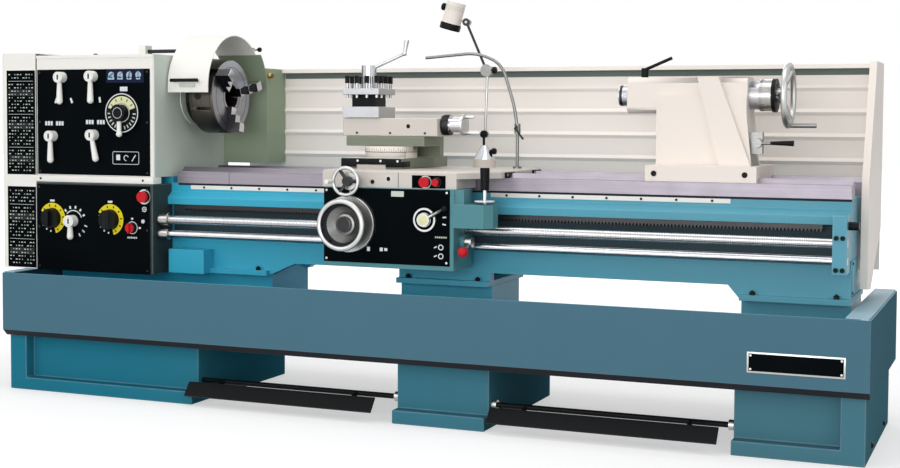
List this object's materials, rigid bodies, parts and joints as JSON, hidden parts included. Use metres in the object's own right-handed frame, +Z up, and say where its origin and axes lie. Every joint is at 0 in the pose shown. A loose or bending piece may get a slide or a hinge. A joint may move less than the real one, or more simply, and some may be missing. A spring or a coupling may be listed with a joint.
{
  "type": "screw-cutting lathe",
  "caption": "Floor-standing screw-cutting lathe with geared headstock, chuck, carriage, tailstock, leadscrew, feed rod, chip tray, splash guard and foot brake.",
  "frame": {"origin": "on the floor under the spindle axis, at the middle of the anchor bolt pattern and of the tray", "axes": "+X along the bed from headstock to tailstock, +Y to the rear, +Z up"},
  "size_m": [3.524, 0.9505, 1.5816],
  "materials": {
    "bed_paint": "semi-gloss teal machine enamel",
    "tray_paint": "satin slate-blue enamel",
    "pedestal_paint": "satin teal enamel",
    "cream_paint": "semi-gloss cream enamel",
    "white_paint": "semi-gloss white enamel",
    "panel_black": "satin black plate",
    "way_steel": "ground hardened ways",
    "bright_steel": "turned bright steel",
    "chuck_steel": "dark ground steel",
    "jaw_steel": "hardened steel",
    "chrome_plate": "polished plating",
    "compound_paint": "green-grey enamel",
    "lever_white": "moulded white handle",
    "dial_black": "moulded black dial",
    "signal_red": "moulded red button",
    "red_ball": "steel lever with a red ball",
    "lamp_shell": "white lamp shell",
    "dark_handle": "blackened steel",
    "motor_paint": "grey-blue enamel"
  },
  "bodies": {
    "frame": {"left_pedestal": "pedestal_paint", "middle_pedestal": "pedestal_paint", "right_pedestal": "pedestal_paint", "chip_tray": "tray_paint", "bed": "bed_paint", "bed_ways": "way_steel", "rod_bracket": "bed_paint", "headstock": "white_paint", "control_panels": "panel_black", "feed_gearbox": "bed_paint", "spindle_bearings": "way_steel", "main_motor": "motor_paint", "splash_guard": "cream_paint"},
    "spindle": {"spindle": "bright_steel", "chuck_body": "chuck_steel"},
    "carriage": {"saddle": "cream_paint", "apron": "bed_paint", "saddle_fittings": "bright_steel"},
    "apron_handwheel": {"apron_handwheel": "chrome_plate"},
    "apron_selector": {"apron_selector": "chrome_plate"},
    "brake_treadle": {"brake_treadle": "dark_handle"},
    "chuck_guard": {"chuck_guard": "white_paint"},
    "chuck_jaw_1": {"chuck_jaw_1": "jaw_steel"},
    "chuck_jaw_2": {"chuck_jaw_2": "jaw_steel"},
    "chuck_jaw_3": {"chuck_jaw_3": "jaw_steel"},
    "clamp_lever": {"clamp_lever": "dark_handle"},
    "compound_base": {"compound_base": "compound_paint"},
    "compound_crank": {"compound_crank": "bright_steel"},
    "control_lever": {"control_lever": "red_ball"},
    "coolant_valve": {"coolant_valve": "bright_steel"},
    "cross_handwheel": {"cross_handwheel": "chrome_plate"},
    "cross_slide": {"cross_slide": "bright_steel"},
    "end_cover": {"end_cover": "white_paint"},
    "feed_dial_left": {"feed_dial_left": "dial_black"},
    "feed_dial_right": {"feed_dial_right": "dial_black"},
    "feed_lever": {"feed_lever": "lever_white"},
    "feed_rod": {"feed_rod": "bright_steel"},
    "headstock_stop": {"headstock_stop": "signal_red"},
    "idler_gear": {"idler_gear": "bright_steel"},
    "input_gear": {"input_gear": "bright_steel"},
    "joystick": {"joystick": "dial_black"},
    "lamp_head": {"lamp_head": "lamp_shell"},
    "lamp_lower_arm": {"lamp_lower_arm": "chrome_plate"},
    "lamp_upper_arm": {"lamp_upper_arm": "chrome_plate"},
    "leadscrew": {"leadscrew": "bright_steel"},
    "power_switch": {"power_switch": "signal_red"},
    "quill": {"quill": "bright_steel"},
    "quill_lever": {"quill_lever": "dark_handle"},
    "saddle_button": {"saddle_button": "signal_red"},
    "saddle_stop": {"saddle_stop": "signal_red"},
    "shift_lever_lower_left": {"shift_lever_lower_left": "lever_white"},
    "shift_lever_lower_right": {"shift_lever_lower_right": "lever_white"},
    "shift_lever_upper_left": {"shift_lever_upper_left": "lever_white"},
    "shift_lever_upper_right": {"shift_lever_upper_right": "lever_white"},
    "speed_dial": {"speed_dial": "dial_black"},
    "tailstock": {"tailstock": "cream_paint"},
    "tailstock_handwheel": {"tailstock_handwheel": "chrome_plate"},
    "toolpost": {"toolpost": "bright_steel"},
    "toolpost_lever": {"toolpost_lever": "bright_steel"},
    "top_slide": {"top_slide": "cream_paint"}
  },
  "joints": [
    {"name": "spindle_turn", "type": "hinge", "parent": "frame", "child": "spindle", "pos_m": [0, 0, 1.199], "axis": [1, 0, 0], "continuous": true},
    {"name": "idler_turn", "type": "hinge", "parent": "frame", "child": "idler_gear", "pos_m": [0, -0.06353, 0.96756], "axis": [1, 0, 0], "continuous": true},
    {"name": "input_turn", "type": "hinge", "parent": "frame", "child": "input_gear", "pos_m": [0, -0.225, 0.79], "axis": [1, 0, 0], "continuous": true},
    {"name": "leadscrew_turn", "type": "hinge", "parent": "frame", "child": "leadscrew", "pos_m": [0, -0.268, 0.705], "axis": [1, 0, 0], "continuous": true},
    {"name": "feed_rod_turn", "type": "hinge", "parent": "frame", "child": "feed_rod", "pos_m": [0, -0.268, 0.647], "axis": [1, 0, 0], "continuous": true},
    {"name": "jaw_1_slide", "type": "slide", "parent": "spindle", "child": "chuck_jaw_1", "axis": [0, -0.1736, -0.9848], "range_m": [-0.03, 0.02]},
    {"name": "jaw_2_slide", "type": "slide", "parent": "spindle", "child": "chuck_jaw_2", "axis": [0, 0.9397, 0.342], "range_m": [-0.03, 0.02]},
    {"name": "jaw_3_slide", "type": "slide", "parent": "spindle", "child": "chuck_jaw_3", "axis": [0, -0.766, 0.6428], "range_m": [-0.03, 0.02]},
    {"name": "chuck_guard_swing", "type": "hinge", "parent": "frame", "child": "chuck_guard", "pos_m": [0, 0.14941, 1.3972], "axis": [-1, 0, 0], "range_deg": [0, 85]},
    {"name": "end_cover_swing", "type": "hinge", "parent": "frame", "child": "end_cover", "pos_m": [-1.652, 0.318, 0], "axis": [0, 0, -1], "range_deg": [0, 110]},
    {"name": "shift_lever_upper_left_turn", "type": "hinge", "parent": "frame", "child": "shift_lever_upper_left", "pos_m": [-1.507, 0, 1.272], "axis": [0, 1, 0], "range_deg": [-25, 25]},
    {"name": "shift_lever_upper_right_turn", "type": "hinge", "parent": "frame", "child": "shift_lever_upper_right", "pos_m": [-1.356, 0, 1.275], "axis": [0, 1, 0], "range_deg": [-25, 25]},
    {"name": "shift_lever_lower_left_turn", "type": "hinge", "parent": "frame", "child": "shift_lever_lower_left", "pos_m": [-1.555, 0, 1.033], "axis": [0, 1, 0], "range_deg": [-25, 25]},
    {"name": "shift_lever_lower_right_turn", "type": "hinge", "parent": "frame", "child": "shift_lever_lower_right", "pos_m": [-1.353, 0, 1.039], "axis": [0, 1, 0], "range_deg": [-25, 25]},
    {"name": "speed_dial_turn", "type": "hinge", "parent": "frame", "child": "speed_dial", "pos_m": [-1.211, 0, 1.128], "axis": [0, 1, 0], "continuous": true},
    {"name": "feed_dial_left_turn", "type": "hinge", "parent": "frame", "child": "feed_dial_left", "pos_m": [-1.557, 0, 0.697], "axis": [0, 1, 0], "continuous": true},
    {"name": "feed_dial_right_turn", "type": "hinge", "parent": "frame", "child": "feed_dial_right", "pos_m": [-1.273, 0, 0.699], "axis": [0, 1, 0], "continuous": true},
    {"name": "feed_lever_turn", "type": "hinge", "parent": "frame", "child": "feed_lever", "pos_m": [-1.453, 0, 0.689], "axis": [0, 1, 0], "range_deg": [-40, 40]},
    {"name": "power_switch_turn", "type": "hinge", "parent": "frame", "child": "power_switch", "pos_m": [-1.168, 0, 0.67], "axis": [0, 1, 0], "range_deg": [0, 90]},
    {"name": "headstock_stop_press", "type": "slide", "parent": "frame", "child": "headstock_stop", "axis": [0, 1, 0], "range_m": [0, 0.006], "stiffness_N_per_m": 400},
    {"name": "carriage_slide", "type": "slide", "parent": "frame", "child": "carriage", "axis": [1, 0, 0], "range_m": [-0.4, 0.35]},
    {"name": "apron_handwheel_turn", "type": "hinge", "parent": "carriage", "child": "apron_handwheel", "pos_m": [-0.155, 0, 0.724], "axis": [0, 1, 0], "range_deg": [-5760, 5040]},
    {"name": "cross_slide_travel", "type": "slide", "parent": "carriage", "child": "cross_slide", "axis": [0, 1, 0], "range_m": [-0.12, 0.1]},
    {"name": "cross_handwheel_turn", "type": "hinge", "parent": "carriage", "child": "cross_handwheel", "pos_m": [-0.145, 0, 0.882], "axis": [0, 1, 0], "range_deg": [-8640, 7200]},
    {"name": "compound_swivel", "type": "hinge", "parent": "cross_slide", "child": "compound_base", "pos_m": [-0.128, -0.102, 0], "axis": [0, 0, 1], "range_deg": [-90, 10]},
    {"name": "top_slide_travel", "type": "slide", "parent": "compound_base", "child": "top_slide", "axis": [-1, 0, 0], "range_m": [-0.06, 0.06]},
    {"name": "compound_crank_turn", "type": "hinge", "parent": "top_slide", "child": "compound_crank", "pos_m": [0, -0.102, 1.0875], "axis": [-1, 0, 0], "range_deg": [-5400, 5400]},
    {"name": "toolpost_index", "type": "hinge", "parent": "top_slide", "child": "toolpost", "pos_m": [-0.224, -0.102, 0], "axis": [0, 0, 1], "continuous": true},
    {"name": "toolpost_lever_turn", "type": "hinge", "parent": "top_slide", "child": "toolpost_lever", "pos_m": [-0.224, -0.102, 0], "axis": [0, 0, 1], "range_deg": [-60, 10]},
    {"name": "apron_selector_turn", "type": "hinge", "parent": "carriage", "child": "apron_selector", "pos_m": [0.145, 0, 0.748], "axis": [0, 1, 0], "range_deg": [0, 56]},
    {"name": "joystick_tilt", "type": "hinge", "parent": "carriage", "child": "joystick", "pos_m": [0.359, -0.365, 0.798], "axis": [0, 1, 0], "range_deg": [-12, 12], "stiffness_Nm_per_rad": 3},
    {"name": "control_lever_turn", "type": "hinge", "parent": "carriage", "child": "control_lever", "pos_m": [0, -0.33, 0.668], "axis": [1, 0, 0], "range_deg": [-15, 15]},
    {"name": "saddle_stop_press", "type": "slide", "parent": "carriage", "child": "saddle_stop", "axis": [0, 1, 0], "range_m": [0, 0.006], "stiffness_N_per_m": 400},
    {"name": "saddle_button_press", "type": "slide", "parent": "carriage", "child": "saddle_button", "axis": [0, 1, 0], "range_m": [0, 0.006], "stiffness_N_per_m": 400},
    {"name": "lamp_base_tilt", "type": "hinge", "parent": "carriage", "child": "lamp_lower_arm", "pos_m": [0.159, 0.15, 1.052], "axis": [0, 1, 0], "range_deg": [-25, 25]},
    {"name": "lamp_elbow_tilt", "type": "hinge", "parent": "lamp_lower_arm", "child": "lamp_upper_arm", "pos_m": [0.168, 0.15, 1.302], "axis": [0, 1, 0], "range_deg": [-40, 40]},
    {"name": "lamp_head_tilt", "type": "hinge", "parent": "lamp_upper_arm", "child": "lamp_head", "pos_m": [0.082, 0.15, 1.492], "axis": [0, 1, 0], "range_deg": [-40, 40]},
    {"name": "coolant_valve_turn", "type": "hinge", "parent": "carriage", "child": "coolant_valve", "pos_m": [0.325, 0, 1.075], "axis": [0, 1, 0], "range_deg": [0, 90]},
    {"name": "tailstock_slide", "type": "slide", "parent": "frame", "child": "tailstock", "axis": [1, 0, 0], "range_m": [-0.4, 0.1]},
    {"name": "quill_slide", "type": "slide", "parent": "tailstock", "child": "quill", "axis": [-1, 0, 0], "range_m": [0, 0.15]},
    {"name": "tailstock_handwheel_turn", "type": "hinge", "parent": "tailstock", "child": "tailstock_handwheel", "pos_m": [0, 0, 1.199], "axis": [-1, 0, 0], "range_deg": [0, 10800]},
    {"name": "quill_lever_turn", "type": "hinge", "parent": "tailstock", "child": "quill_lever", "pos_m": [0.842, 0, 0], "axis": [0, 0, 1], "range_deg": [-45, 45]},
    {"name": "clamp_lever_turn", "type": "hinge", "parent": "tailstock", "child": "clamp_lever", "pos_m": [1.264, 0, 1.031], "axis": [0, 1, 0], "range_deg": [-10, 40]},
    {"name": "brake_treadle_press", "type": "hinge", "parent": "frame", "child": "brake_treadle", "pos_m": [0, -0.33, 0.084], "axis": [1, 0, 0], "range_deg": [0, 8], "stiffness_Nm_per_rad": 60, "springref_deg": -11.46}
  ],
  "couplings": [
    {"joint": "idler_turn", "follows": "spindle_turn", "ratio": -0.33333},
    {"joint": "input_turn", "follows": "spindle_turn", "ratio": 1},
    {"joint": "leadscrew_turn", "follows": "spindle_turn", "ratio": 0.5},
    {"joint": "feed_rod_turn", "follows": "spindle_turn", "ratio": 0.4},
    {"joint": "jaw_2_slide", "follows": "jaw_1_slide", "ratio": 1},
    {"joint": "jaw_3_slide", "follows": "jaw_1_slide", "ratio": 1},
    {"joint": "apron_handwheel_turn", "follows": "carriage_slide", "rad_per_m": 251.33},
    {"joint": "cross_handwheel_turn", "follows": "cross_slide_travel", "rad_per_m": 1256.6},
    {"joint": "compound_crank_turn", "follows": "top_slide_travel", "rad_per_m": 1570.8},
    {"joint": "tailstock_handwheel_turn", "follows": "quill_slide", "rad_per_m": 1256.6}
  ]
}
